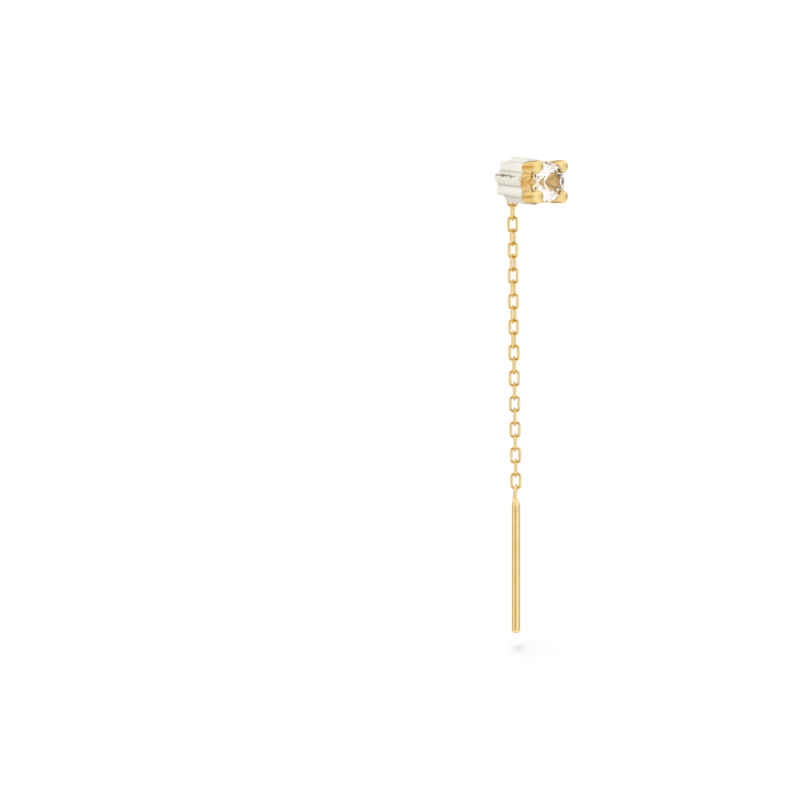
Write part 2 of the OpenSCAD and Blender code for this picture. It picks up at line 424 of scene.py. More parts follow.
for k in range(16):
    # A girdle facet joins the tip of a star or a lower point to the two girdle corners beside it
    tip_turn = HALF_TURN * (k + 1 if k % 2 == 0 else k)
    main_turn = HALF_TURN * (k if k % 2 == 0 else k + 1)
    for tip_r, tip_z, girdle_z in ((STAR_R, star_z, GIRDLE_TOP), (LOWER_R, lower_z, GIRDLE_LOW)):
        tip = around_axis(tip_r, tip_turn, tip_z)
        beside_tip = around_axis(STONE_R, tip_turn, girdle_z)
        beside_main = around_axis(STONE_R, main_turn, girdle_z)
        normal = (beside_tip - tip).cross(beside_main - tip).normalized()
        if normal.to_2d().dot(beside_tip.to_2d()) < 0:
            normal.negate()
        grind_plane(stone, tip, normal)
print("with the girdle facets it has", len(stone.faces), "faces")

# %% Lay the stone into the setting
bmesh.ops.rotate(stone, verts=stone.verts, cent=(0, 0, 0), matrix=Matrix.Rotation(math.pi / 2, 3, "X"))
bmesh.ops.recalc_face_normals(stone, faces=stone.faces)
for vert in stone.verts:
    vert.co.z -= LIFT * vert.co.y
stone.verts.index_update()
facets = [[vert.index for vert in face.verts] for face in stone.faces]
brilliant = mesh_piece("brilliant", [tuple(vert.co) for vert in stone.verts], facets, smooth=False)

# %% [markdown]
# ## The ear nut
#
# The nut is moulded from clear silicone: eight rounded ribs to grip, flat ends and a tight bore.
# It is soft, so it leans a little on the post, and its front end is pressed flat against the cup.
# An extruded outline with a bevel would do for the ribs, but not for the pressed end, so the
# distance tools make it too. One rib is enough for the outline, because the angle round the nut
# folds back on itself every eighth of a turn.

# %% The ribbed outline
NUT_R = 2.03
RIBS = 8
RIB_TURN = math.radians(37)
TIP_HALF = math.radians(5)
VALLEY_R = NUT_R - 0.38
VALLEY_HALF = math.radians(3)
RIB_EASE = 0.12
VALLEY_MELT = 0.08


def rib_outline(across, up):
    """The ribbed outline: flat rib tops, sloping flanks and narrow valleys, all eased."""
    around = lengths(across, up)
    half_rib = math.pi / RIBS
    turn = abs(np.mod(np.arctan2(-across, up) - RIB_TURN + half_rib, 2 * half_rib) - half_rib)
    top = around * np.cos(turn) - NUT_R * math.cos(TIP_HALF)
    valley = around * np.cos(half_rib - turn) - VALLEY_R * math.cos(VALLEY_HALF)
    ax, ay = NUT_R * math.cos(TIP_HALF), NUT_R * math.sin(TIP_HALF)
    bx, by = VALLEY_R * math.cos(half_rib - VALLEY_HALF), VALLEY_R * math.sin(half_rib - VALLEY_HALF)
    long = math.hypot(bx - ax, by - ay)
    flank = ((around * np.cos(turn) - ax) * (by - ay) - (around * np.sin(turn) - ay) * (bx - ax)) / long
    return common(melt(flank, valley, VALLEY_MELT), top, RIB_EASE)


print("the ear nut is", 2 * NUT_R, "mm over its ribs and", 2 * VALLEY_R, "mm over its valleys")

# %% Mould the ear nut
NUT_L = 3.2
NUT_EDGE = 0.14
NUT_YAW, NUT_PITCH = math.radians(8), math.radians(4)
NUT_LEAN = np.array(Matrix.Rotation(NUT_YAW, 3, "Y") @ Matrix.Rotation(NUT_PITCH, 3, "X"))
NUT_GAP = 0.04
NUT_FRONT = NUT_GAP + NUT_R * math.hypot(math.sin(NUT_YAW), math.sin(NUT_PITCH))
PRESSED_AT = 0.05
PRESSED_EASE = 0.08
BORE_R = POST_R + 0.02
BORE_EASE = 0.05
NUT_STEP = 0.05


def nut_distance(p):
    """The leaning ribbed body, pressed flat in front, with the bore along the post."""
    local = np.stack([p[..., 0], p[..., 2], NUT_FRONT - p[..., 1]], -1) @ NUT_LEAN
    body = drawn_out(rib_outline(local[..., 0], local[..., 1]), local[..., 2], -NUT_L, SPARE, NUT_EDGE)
    body = common(body, PRESSED_AT - p[..., 1], PRESSED_EASE)
    return cut(body, lengths(p[..., 0], p[..., 2]) - BORE_R, BORE_EASE)


nut_low, nut_high = node_box("ear_nut")
points, quads = skin(nut_distance, nut_low - MARGIN, nut_high + MARGIN, NUT_STEP)
nut = mesh_piece("ribbed_nut", points, quads)

# %% [markdown]
# ## The chain
#
# A cable chain's links are cut from a coil of drawn wire that was wound on an oval rod, so each
# one is a stadium of round wire, closed with a speck of solder on one side. A curve with a round
# bevel would make the wire, but not the solder, so a ring of points is swept along the path here.
# The place and the turn of each link are read from its CAD node, because those decide how the
# chain hangs.

# %% The path of a link's wire
LINK_R = 0.375
LINK_HALF = 0.335
WIRE_R = 0.125
BEND_STEPS = 14


def link_path():
    """Points and outward directions along a link, seen face on, starting on its right side."""
    path = []
    for lift, start in ((LINK_HALF, 0), (-LINK_HALF, math.pi)):
        for k in range(BEND_STEPS + 1):
            turn = start + math.pi * k / BEND_STEPS
            out_x, out_z = math.cos(turn), math.sin(turn)
            path.append((LINK_R * out_x, lift + LINK_R * out_z, out_x, out_z))
        side = -1 if start == 0 else 1
        for k in (1, 2, 3):
            path.append((side * LINK_R, lift * (1 - k / 2), side, 0))
    return path


print("a link has", len(link_path()), "rings of points")

# %% Sweep the wire along it
WIRE_SIDES = 16
SOLDER_SWELL = 0.05
SOLDER_H = 0.16
# The solder is filed off where the wire faces outwards by more than this
SOLDER_FILED = 0.5


def link_mesh(name, centre, across):
    """A link that lies in the plane of across and up, with its solder on the side of across."""
    across, up = Vector((across[0], across[1], 0)).normalized(), Vector((0, 0, 1))
    through = across.cross(up)
    path = link_path()
    points = []
    for x, z, out_x, out_z in path:
        swollen = 1 + SOLDER_SWELL * math.exp(-((z / SOLDER_H) ** 2)) * (x > 0)
        for k in range(WIRE_SIDES):
            turn = 2 * math.pi * k / WIRE_SIDES
            out = (across * out_x + up * out_z) * math.cos(turn) + through * math.sin(turn)
            thick = WIRE_R * (swollen if math.cos(turn) < SOLDER_FILED else 1)
            points.append(Vector(centre) + across * x + up * z + out * thick)
    quads = []
    for k in range(len(path)):
        a, b = k * WIRE_SIDES, (k + 1) % len(path) * WIRE_SIDES
        for j in range(WIRE_SIDES):
            next_j = (j + 1) % WIRE_SIDES
            quads.append((a + j, b + j, b + next_j, a + next_j))
    return mesh_piece(name, [tuple(point) for point in points], quads)


print("the solder makes the wire", round(WIRE_R * SOLDER_SWELL, 4), "mm thicker")

# %% Make the chain
LINK_NODES = [name for name in sorted(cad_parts) if name.startswith("chain_link_")]
links = {}
for name in LINK_NODES:
    low, high = node_box(name)
    spread = np.array([vert.co[:2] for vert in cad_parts[name].data.vertices]) / MM
    spread = spread - (low[:2] + high[:2]) / 2
    # A link is widest in its own plane, and that is the stronger axis of its points' spread
    across = np.linalg.eigh(spread.T @ spread)[1][:, 1]
    links[name] = link_mesh(name.replace("chain_link", "link"), tuple((low + high) / 2), across)
link_z = [sum(node_box(name))[2] / 2 for name in LINK_NODES]
LINK_PITCH = (link_z[0] - link_z[-1]) / (len(link_z) - 1)
print(len(links), "links at a pitch of", round(LINK_PITCH, 3), "mm")

# %% [markdown]
# ## The threader bar
#
# The bar is a rod with a rounded lower end. Its top narrows round the last link, which is
# soldered in and leans a little. A turned profile would give the rod alone, but solder fills the
# corner between wire and rod, so the two forms are melted together as in the setting. Where the
# bar and its link hang is read from the frame.

# %% Where the bar hangs
LINK_GAP = 0.03
NEAR_FOOT = 2
bar_low, bar_high = node_box("threader_bar")
bar_points = np.array([vert.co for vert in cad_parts["threader_bar"].data.vertices]) / MM
foot_points = bar_points[bar_points[:, 2] < bar_low[2] + NEAR_FOOT]
BAR_X, BAR_Y = ((foot_points.min(0) + foot_points.max(0)) / 2)[:2]
HANG = np.array([BAR_X, BAR_Y, node_box(LINK_NODES[-1])[0][2] + 2 * WIRE_R + LINK_GAP])
print("the last link hangs from", HANG.round(4), "mm")

# %% Draw the bar
BAR_R = 0.38
BAR_L = 12
BAR_BOTTOM = bar_low[2]
BAR_TOP = BAR_BOTTOM + BAR_L
BAR_TIP_R = 0.22
TAPER_H = 0.62
TAPER_R = 0.17
TAPER_EASE = 0.1
TOP_EASE = 0.08
SOLDER_MELT = 0.12
PLANE_TURN, SOLDER_LEAN, LINK_TWIST = math.radians(-36), math.radians(8), math.radians(84)
LAST_LINK = Matrix.Rotation(PLANE_TURN, 3, "Z") @ Matrix.Rotation(SOLDER_LEAN, 3, "Y")
LAST_LINK = np.array(LAST_LINK @ Matrix.Rotation(LINK_TWIST, 3, "Z"))


def bar_distance(p):
    """The rod, tapered at its top, with the last link soldered in."""
    across, z = lengths(p[..., 0] - BAR_X, p[..., 1] - BAR_Y), p[..., 2]
    rod = drawn_out(across - BAR_R, z, BAR_BOTTOM, BAR_TOP + SPARE, BAR_TIP_R)
    slope = math.hypot(TAPER_H, BAR_R - TAPER_R)
    taper = ((across - BAR_R) * TAPER_H + (z - BAR_TOP + TAPER_H) * (BAR_R - TAPER_R)) / slope
    rod = common(common(rod, taper, TAPER_EASE), z - BAR_TOP, TOP_EASE)
    local = (p - HANG) @ LAST_LINK
    below = abs(local[..., 2] + LINK_HALF + LINK_R - WIRE_R) - LINK_HALF
    ring = lengths(local[..., 0], np.maximum(below, 0)) - LINK_R
    return melt(rod, lengths(ring, local[..., 1]) - WIRE_R, SOLDER_MELT)


points, quads = skin(bar_distance, bar_low - MARGIN, bar_high + MARGIN, METAL_STEP)
bar = mesh_piece("bar", points, quads)

# %% [markdown]
# ## Gold
#
# The metal is polished yellow gold plate. Polish is never perfect: the buffing leaves slightly
# duller and brighter patches and a very fine ripple, and that is what keeps a render from looking
# like plastic chrome. A painted texture would need unwrapping, and would be coarse on the wire. So
# noise in millimetres drives the tone, the roughness and a small bump, and the marks keep their
# size on every piece. The setting is a casting, so it is a little softer in polish than the wire.

# %% A material whose textures are in millimetres
def new_material(name):
    """A material, its nodes and wires, its surface node and a coordinate in millimetres."""
    material = bpy.data.materials.new(name)
    material.use_nodes = True
    nodes, wires = material.node_tree.nodes, material.node_tree.links
    place = nodes.new("ShaderNodeTexCoord")
    scale = nodes.new("ShaderNodeVectorMath")
    scale.operation = "SCALE"
    scale.inputs["Scale"].default_value = 1 / MM
    wires.new(place.outputs["Object"], scale.inputs[0])
    return material, nodes, wires, nodes["Principled BSDF"], scale.outputs["Vector"]


print("one metre of Blender is", round(1 / MM), "in the materials' coordinates")

# %% Noise, and what it drives
def noise(nodes, wires, where, scale, detail=3.0):
    node = nodes.new("ShaderNodeTexNoise")
    node.inputs["Scale"].default_value = scale
    node.inputs["Detail"].default_value = detail
    wires.new(where, node.inputs["Vector"])
    return node.outputs["Fac"]


def between(nodes, wires, value, low, high):
    """Maps a noise, which mostly lies from 0.3 to 0.7, to the range from low to high."""
    node = nodes.new("ShaderNodeMapRange")
    for name, number in (("From Min", 0.3), ("From Max", 0.7), ("To Min", low), ("To Max", high)):
        node.inputs[name].default_value = number
    wires.new(value, node.inputs["Value"])
    return node.outputs["Result"]


def bump(nodes, wires, height, depth, surface):
    node = nodes.new("ShaderNodeBump")
    node.inputs["Strength"].default_value = 1
    node.inputs["Distance"].default_value = depth * MM
    wires.new(height, node.inputs["Height"])
    wires.new(node.outputs["Normal"], surface.inputs["Normal"])


print("a noise of scale 5 leaves marks about", 1 / 5, "mm wide")

# %% Polished gold
TONE_SCALE = 0.9
SHINE_SCALE = 2.5
RIPPLE_SCALE = 5


def mix_colour(nodes, wires, first, second, factor):
    """Either colour may be a constant or the output of another node."""
    node = nodes.new("ShaderNodeMix")
    node.data_type = "RGBA"
    for name, colour in (("A", first), ("B", second)):
        if isinstance(colour, tuple):
            node.inputs[name].default_value = (*colour, 1)
        else:
            wires.new(colour, node.inputs[name])
    wires.new(factor, node.inputs["Factor"])
    return node.outputs["Result"]


def polished_gold(name, light, deep, shine, ripple, tone=None):
    """Gold from light to deep, with a roughness in the range of shine and a ripple in millimetres.
    tone may change the colour before it reaches the surface."""
    material, nodes, wires, surface, where = new_material(name)
    surface.inputs["Metallic"].default_value = 1
    patches = between(nodes, wires, noise(nodes, wires, where, TONE_SCALE), 0, 1)
    colour = mix_colour(nodes, wires, light, deep, patches)
    if tone:
        colour = tone(nodes, wires, where, colour)
    wires.new(colour, surface.inputs["Base Color"])
    rough = between(nodes, wires, noise(nodes, wires, where, SHINE_SCALE), *shine)
    wires.new(rough, surface.inputs["Roughness"])
    bump(nodes, wires, noise(nodes, wires, where, RIPPLE_SCALE, 2), ripple, surface)
    return material


bar_gold = polished_gold("gold_plate", (0.89, 0.735, 0.39), (0.86, 0.69, 0.33), (0.10, 0.20), 0.004)
setting_gold = polished_gold("gold_casting", (0.88, 0.70, 0.36), (0.86, 0.66, 0.29), (0.14, 0.26), 0.008)
print("gold:", bar_gold.name, "and", setting_gold.name)

# %% [markdown]
# ## Gold that the stone sits on, and gold of the chain
#
# Two golds differ from the polished ones. The seat under the stone can't be reached by a buff, so
# it stays matt and deep yellow, and it is what fills the stone's table with a warm tan colour. The
# chain's links rest on each other, and painted shade, a deeper tone, darkens them where they meet.
# Each link could have a mask painted for its two ends. But the joints lie at even heights, halfway
# between the links' middles, so one wave along the height finds them all.

# %% The seat's gold
seat_gold = polished_gold("cast_gold", (1.0, 0.67, 0.17), (1.0, 0.63, 0.14), (0.4, 0.48), 0.004)
print("the seat's gold:", seat_gold.name)

# %% Sums and fades
def math_node(nodes, wires, operation, *values):
    """A sum or another operation, on numbers or on the outputs of other nodes."""
    node = nodes.new("ShaderNodeMath")
    node.operation = operation
    for socket, value in zip(node.inputs, values):
        if isinstance(value, (int, float)):
            socket.default_value = value
        else:
            wires.new(value, socket)
    return node.outputs["Value"]


def fade(nodes, wires, value, full, gone):
    """1 where value is full, 0 where it is gone, and smooth between."""
    node = nodes.new("ShaderNodeMapRange")
    node.interpolation_type = "SMOOTHSTEP"
    for name, number in (("From Min", full), ("From Max", gone), ("To Min", 1), ("To Max", 0)):
        node.inputs[name].default_value = number
    wires.new(value, node.inputs["Value"])
    return node.outputs["Result"]


way = 0.25
print("a quarter of the way through a fade,", 1 - 3 * way ** 2 + 2 * way ** 3, "of it is left")

# %% The chain's gold
# Painted shade: the joints' deeper colour stands in for the shade where two links meet
JOINT_SHADE = (0.66, 0.39, 0.08)
JOINT_NEAR, JOINT_FAR = 0.04, 0.2
UNEVEN_SCALE = 3
LEAST_JOINT_SHADE = 0.6


def shaded_joints(nodes, wires, where, colour):
    """Painted shade where two links rest on each other, halfway between their middles."""
    split = nodes.new("ShaderNodeSeparateXYZ")
    wires.new(where, split.inputs["Vector"])
    below = math_node(nodes, wires, "SUBTRACT", split.outputs["Z"], link_z[0])
    past = math_node(nodes, wires, "PINGPONG", below, LINK_PITCH / 2)
    # The painted shade is strongest at a joint and fades towards the links' middles
    joint_shade = fade(nodes, wires, past, LINK_PITCH / 2 - JOINT_NEAR, LINK_PITCH / 2 - JOINT_FAR)
    uneven = between(nodes, wires, noise(nodes, wires, where, UNEVEN_SCALE), LEAST_JOINT_SHADE, 1)
    joint_shade = math_node(nodes, wires, "MULTIPLY", joint_shade, uneven)
    return mix_colour(nodes, wires, colour, JOINT_SHADE, joint_shade)


chain_gold = polished_gold("gold_wire", (0.93, 0.81, 0.46), (0.88, 0.71, 0.33), (0.06, 0.18), 0.003,
                           shaded_joints)
print("the chain's gold:", chain_gold.name, "with a joint every", round(LINK_PITCH, 3), "mm")

# %% [markdown]
# ## Clear stone
#
# The stone lets all light through and bends it strongly, so its facets flash and show the seat
# behind it. A glass shader would bend light in the same way, but the principled one also carries
# over into an exported model. Real crystal is almost perfectly smooth. A trace of roughness and a
# bump of about a thousandth of a millimetre keep the facets from looking like drawn lines.

# %% Clear crystal
CRYSTAL_TINT = (0.985, 0.985, 0.98)
CRYSTAL_IOR = 1.68
CRYSTAL_ROUGHNESS = (0, 0.02)
CRYSTAL_BUMP = 0.0015


def clear_crystal(name):
    """Nearly flawless crystal, with a trace of roughness and unevenness."""
    material, nodes, wires, surface, where = new_material(name)
    surface.inputs["Base Color"].default_value = (*CRYSTAL_TINT, 1)
    surface.inputs["Transmission Weight"].default_value = 1
    surface.inputs["IOR"].default_value = CRYSTAL_IOR
    rough = between(nodes, wires, noise(nodes, wires, where, 3), *CRYSTAL_ROUGHNESS)
    wires.new(rough, surface.inputs["Roughness"])
    bump(nodes, wires, noise(nodes, wires, where, 2, 1), CRYSTAL_BUMP, surface)
    return material


crystal = clear_crystal("clear_crystal")
print("the stone:", crystal.name, "bends light by", CRYSTAL_IOR)

# %% [markdown]
# ## Milky silicone
#
# The nut's silicone is clear, but moulding leaves it faintly milky: part of the light is scattered
# instead of let through. It has streaks along its length from the way it flowed into the mould, and
# grey dust with painted shade in the valleys between its ribs. A thin brown line on one rib is a
# painted reflection of the gold post seen through the silicone.
# All of these follow the nut's own axis, so they need coordinates that lean with the nut. Painting
# them would fix them to pixels, and a formula keeps them sharp at any distance.

# %% Coordinates that lean with the nut
def nut_coordinates(nodes, wires, where):
    """Distances across, up and along the leaning nut's axis, in millimetres."""
    place = nodes.new("ShaderNodeVectorMath")
    place.operation = "SUBTRACT"
    place.inputs[1].default_value = (0, NUT_FRONT, 0)
    wires.new(where, place.inputs[0])
    parts = []
    for k in range(3):
        dot = nodes.new("ShaderNodeVectorMath")
        dot.operation = "DOT_PRODUCT"
        dot.inputs[1].default_value = (NUT_LEAN[0][k], -NUT_LEAN[2][k], NUT_LEAN[1][k])
        wires.new(place.outputs["Vector"], dot.inputs[0])
        parts.append(dot.outputs["Value"])
    return parts


print("the nut's front is", round(NUT_FRONT, 3), "mm behind the setting's back face")

# %% The brown line on one rib, a painted reflection of the gold post
# The brown line is a painted reflection: it stands in for the gold post seen through the silicone
REFLECTION_AT = NUT_R * math.radians(76.5)
REFLECTION_WANDER, WANDER_SCALE = 0.5, 2.4
REFLECTION_HALF, REFLECTION_BLUR = 0.05, 0.13
PIECES_SCALE, PIECES_FULL, PIECES_GONE = 7, 0.44, 0.3
# Where the line is full and where it is gone, towards the nut's front and its rear
REFLECTION_ENDS = ((-0.62, -0.5), (-2.98, -3.1))


def post_reflection_line(nodes, wires, around, along, where):
    """1 on a thin, wavering line along one rib, and 0 beside it and where it is missing. The line is a
    painted reflection of the gold post.
    """
    wander = math_node(nodes, wires, "MULTIPLY", noise(nodes, wires, where, WANDER_SCALE, 2), REFLECTION_WANDER)
    line = math_node(nodes, wires, "SUBTRACT", around, REFLECTION_AT + REFLECTION_WANDER / 2)
    line = math_node(nodes, wires, "ADD", line, wander)
    reflection_mask = fade(nodes, wires, math_node(nodes, wires, "ABSOLUTE", line), REFLECTION_HALF, REFLECTION_BLUR)
    for full, gone in REFLECTION_ENDS:
        reflection_mask = math_node(nodes, wires, "MULTIPLY", reflection_mask, fade(nodes, wires, along, full, gone))
    line_pieces = fade(nodes, wires, noise(nodes, wires, where, PIECES_SCALE, 2), PIECES_FULL, PIECES_GONE)
    return math_node(nodes, wires, "MULTIPLY", reflection_mask, line_pieces)


print("the line runs for", round(REFLECTION_ENDS[0][0] - REFLECTION_ENDS[1][0], 2), "mm along the nut")

# %% Dust and painted shade in the valleys
# The wave round the nut is -1 in the middle of a valley
# The valleys' grey is dust and painted shade, where the two flanks shade each other
DUST_AND_SHADE_FULL, DUST_AND_SHADE_GONE = -0.99, -0.8
DUST_AND_SHADE_END = (-3, -3.1)
DUST_AND_SHADE_SHARE = (0.15, 0.9)


def valley_dust_and_shade(nodes, wires, around, along, streaks):
    """Dust and painted shade in the valleys between the ribs, thick and thin by turns, and 0 on the flanks.
    """
    phase = math_node(nodes, wires, "MULTIPLY", around, RIBS / NUT_R)
    phase = math_node(nodes, wires, "SUBTRACT", phase, RIBS * RIB_TURN)
    phase = math_node(nodes, wires, "COSINE", phase)
    dust_and_shade = fade(nodes, wires, phase, DUST_AND_SHADE_FULL, DUST_AND_SHADE_GONE)
    dust_and_shade = math_node(nodes, wires, "MULTIPLY", dust_and_shade, fade(nodes, wires, along, *DUST_AND_SHADE_END))
    return math_node(nodes, wires, "MULTIPLY", dust_and_shade, between(nodes, wires, streaks, *DUST_AND_SHADE_SHARE))


print("dust lies in", RIBS, "valleys,", round(2 * math.pi * VALLEY_R / RIBS, 2), "mm apart")

# %% The silicone
CLEAR, MILKY = (0.96, 0.965, 0.92), (0.88, 0.89, 0.835)
# The second pair: the grey of dust and painted shade in the valleys, and the brown of the post's painted
# reflection
DUST_AND_SHADE, POST_REFLECTION = (0.36, 0.35, 0.29), (0.16, 0.09, 0.05)
STREAK_SCALE = 3.2
STREAK_STRETCH = 0.12
STREAK_DEPTH = 0.05
CLEARNESS = 0.55
SILICONE_IOR = 1.41
SILICONE_ROUGHNESS = (0.3, 0.42)


def milky_silicone(name):
    """Milky silicone: streaks, grime and painted shade in the valleys, and the post's painted reflection."""
    material, nodes, wires, surface, where = new_material(name)
    across, up, along = nut_coordinates(nodes, wires, where)
    turn = math_node(nodes, wires, "ARCTAN2", math_node(nodes, wires, "MULTIPLY", across, -1), up)
    around = math_node(nodes, wires, "MULTIPLY", turn, NUT_R)
    flow = nodes.new("ShaderNodeCombineXYZ")
    stretched = math_node(nodes, wires, "MULTIPLY", along, STREAK_STRETCH)
    for axis, value in zip("XYZ", (across, up, stretched)):
        wires.new(value, flow.inputs[axis])
    streaks = noise(nodes, wires, flow.outputs["Vector"], STREAK_SCALE, 4)
    colour = mix_colour(nodes, wires, CLEAR, MILKY, between(nodes, wires, streaks, 0, 1))
    dust_and_shade_mask = valley_dust_and_shade(nodes, wires, around, along, streaks)
    colour = mix_colour(nodes, wires, colour, DUST_AND_SHADE, dust_and_shade_mask)
    colour = mix_colour(nodes, wires, colour, POST_REFLECTION, post_reflection_line(nodes, wires, around, along, where))
    wires.new(colour, surface.inputs["Base Color"])
    surface.inputs["Transmission Weight"].default_value = CLEARNESS
    surface.inputs["IOR"].default_value = SILICONE_IOR
    wires.new(between(nodes, wires, streaks, *SILICONE_ROUGHNESS), surface.inputs["Roughness"])
    bump(nodes, wires, streaks, STREAK_DEPTH, surface)
    return material


silicone = milky_silicone("milky_silicone")
print("the ear nut:", silicone.name, "with", len(silicone.node_tree.nodes), "nodes")

# %% [markdown]
# ## Dress the frame
#
# Each piece now gets its material and takes the place of its CAD node. It rides on the body that
# moves the node: the setting, the stone, the nut and the free links stay together, and the bar
# swings. The seat could be a piece of its own, but in metal it is one with the setting. So its
# faces are picked out by where they are and which way they look: inside the stone's edge, deeper
# than the rim, and facing the stone.

# %% Give every piece its material, its body and its node
def finish_piece(piece, body, slot, material, *nodes):
    """Gives a piece its material, hides the CAD nodes that it stands for, and hands it to its body."""
    piece.data.materials.clear()
    piece.data.materials.append(material)
    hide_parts(*nodes)
    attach(piece, body)
    corners = np.array(piece.bound_box) / MM
    print(piece.name, "is", (corners.max(0) - corners.min(0)).round(2).tolist(), "mm, on", body)


finish_piece(setting, STUD_BODY, "gold", setting_gold, "stud_setting")
finish_piece(brilliant, STUD_BODY, "clear_stone", crystal, "round_stone")
finish_piece(nut, STUD_BODY, "clear_silicone", silicone, "ear_nut")
for name, link in links.items():
    finish_piece(link, STUD_BODY, "gold", chain_gold, name)
finish_piece(bar, BAR_BODY, "gold", bar_gold, "threader_bar")

# %% Leave the seat matt
SEAT_INSET = 0.05
SEAT_FACING = -0.2
setting.data.materials.append(seat_gold)
for face in setting.data.polygons:
    x, y, z = face.center / MM
    under_stone = SEAT_INSET < -y < CUP_H and math.hypot(x, z) < STONE_R - SEAT_INSET
    if under_stone and face.normal.y < SEAT_FACING:
        face.material_index = 1
print("faces of the stone's seat:", sum(face.material_index for face in setting.data.polygons))

# %% [markdown]
# ## Floor
#
# The earring hangs over a pale card that runs on to the horizon. The card is seen as white and only
# its shadow shows. It is left out of reflections, because the metal would otherwise turn dull below.
# A plane with a painted shadow would look right from one side only, so the floor is real.

# %% A pale card
FLOOR_Z = -41.5
FLOOR_R = 40000
FLOOR_SIDES = 64
FLOOR_GREY = 0.30
CARD_SCALE = 0.05
CARD_ROUGHNESS = (0.8, 0.95)


def floor_corner(k):
    turn = 2 * math.pi * k / FLOOR_SIDES
    return (FLOOR_R * math.cos(turn), FLOOR_R * math.sin(turn), FLOOR_Z)


floor = mesh_piece("floor", [floor_corner(k) for k in range(FLOOR_SIDES)], [list(range(FLOOR_SIDES))],
                   smooth=False)
card, nodes, wires, surface, where = new_material("pale_card")
surface.inputs["Base Color"].default_value = (FLOOR_GREY, FLOOR_GREY, FLOOR_GREY, 1)
surface.inputs["Specular IOR Level"].default_value = 0
rough = between(nodes, wires, noise(nodes, wires, where, CARD_SCALE), *CARD_ROUGHNESS)
wires.new(rough, surface.inputs["Roughness"])
floor.data.materials.append(card)
floor.visible_glossy = False
print("the floor is", round(bar_low[2] - FLOOR_Z, 2), "mm below the bar")

# %% [markdown]
# ## The room
#
# Polished gold shows little but its surroundings, so the room decides how the metal looks. It is a
# white studio with a few darker, warm openings, which put the dark lines on the rods that make them
# read as metal. Cards and lamps could be built as objects, but then every view would see them. So
# the world's colour is worked out from the direction instead: one row of bands round the horizon,
# another overhead, and a blend between them by height. The camera sees plain white.

# %% Directions of the view
VIEW_TURN = math.radians(-34.5)
RIGHT = Vector((math.cos(VIEW_TURN), math.sin(VIEW_TURN), 0))
TOWARD = Vector((math.sin(VIEW_TURN), -math.cos(VIEW_TURN), 0))
print("right in the picture:", tuple(round(value, 3) for value in RIGHT))
print("toward the camera:", tuple(round(value, 3) for value in TOWARD))

# %% The bands of the room
# Columns: degrees round from the camera, to the right in the picture, then level and warmth
BANDS = [(-180, 0.7, 1), (-150, 0.7, 1.2), (-108, 0.63, 2.0), (-90, 0.85, 1), (-66, 0.95, 1),
         (-40, 0.75, 1), (-24, 0.57, 1), (-6, 0.62, 1), (18, 0.95, 1), (44, 1.0, 1), (74, 0.9, 1),
         (92, 0.62, 1), (112, 0.55, 1), (128, 0.9, 1), (150, 0.9, 1), (165, 0.5, 1), (180, 0.45, 1)]
OVERHEAD = [(-180, 0.45, 1), (-162, 0.5, 1), (-146, 0.88, 2.0), (-112, 0.9, 2.0), (-86, 1, 1),
            (146, 1, 1), (162, 0.5, 1), (180, 0.45, 1)]
# Columns: the direction's height, from -1 to 1, and the share of the overhead bands
HEIGHTS = [(-1, 0.9), (-0.35, 0.85), (-0.12, 0), (0.15, 0), (0.35, 1), (1, 1)]
GREEN_LOSS, BLUE_LOSS = 0.45, 1.05


def band_colour(level, warmth):
    """Darker parts of the room are warmer: they lose some green and more blue."""
    warm = max(0, 1 - level) * warmth
    return (level, level * (1 - GREEN_LOSS * warm), level * (1 - BLUE_LOSS * warm), 1)


def ramp(nodes, wires, value, stops):
    """A colour for a value from 0 to 1, between stops of (place, colour)."""
    node = nodes.new("ShaderNodeValToRGB")
    first, last = node.color_ramp.elements
    first.color, last.color = stops[0][1], stops[-1][1]
    for place, colour in stops[1:-1]:
        node.color_ramp.elements.new(place).color = colour
    wires.new(value, node.inputs["Fac"])
    return node.outputs["Color"]


print("bands:", len(BANDS), "round the horizon and", len(OVERHEAD), "overhead")

# %% Find a direction's turn and height
def zero_to_one(nodes, wires, value, low, high):
    """Maps the range from low to high onto 0 to 1, as a ramp wants it."""
    node = nodes.new("ShaderNodeMapRange")
    node.inputs["From Min"].default_value = low
    node.inputs["From Max"].default_value = high
    wires.new(value, node.inputs["Value"])
    return node.outputs["Result"]


world = bpy.data.worlds.new("white_studio")
bpy.context.scene.world = world
world.use_nodes = True
nodes, wires = world.node_tree.nodes, world.node_tree.links
nodes.clear()
place = nodes.new("ShaderNodeTexCoord")
parts = []
for direction in (RIGHT, TOWARD):
    dot = nodes.new("ShaderNodeVectorMath")
    dot.operation = "DOT_PRODUCT"
    dot.inputs[1].default_value = direction
    wires.new(place.outputs["Generated"], dot.inputs[0])
    parts.append(dot.outputs["Value"])
height = nodes.new("ShaderNodeSeparateXYZ")
wires.new(place.outputs["Generated"], height.inputs["Vector"])
turn = zero_to_one(nodes, wires, math_node(nodes, wires, "ARCTAN2", *parts), -math.pi, math.pi)
rise = zero_to_one(nodes, wires, height.outputs["Z"], -1, 1)
print("a direction's turn and height take", len(nodes), "nodes")

# %% Colour the room
ROOM_STRENGTH = 1.12
BACKDROP_STRENGTH = 1.05


def background(nodes, strength):
    node = nodes.new("ShaderNodeBackground")
    node.inputs["Color"].default_value = (1, 1, 1, 1)
    node.inputs["Strength"].default_value = strength
    return node


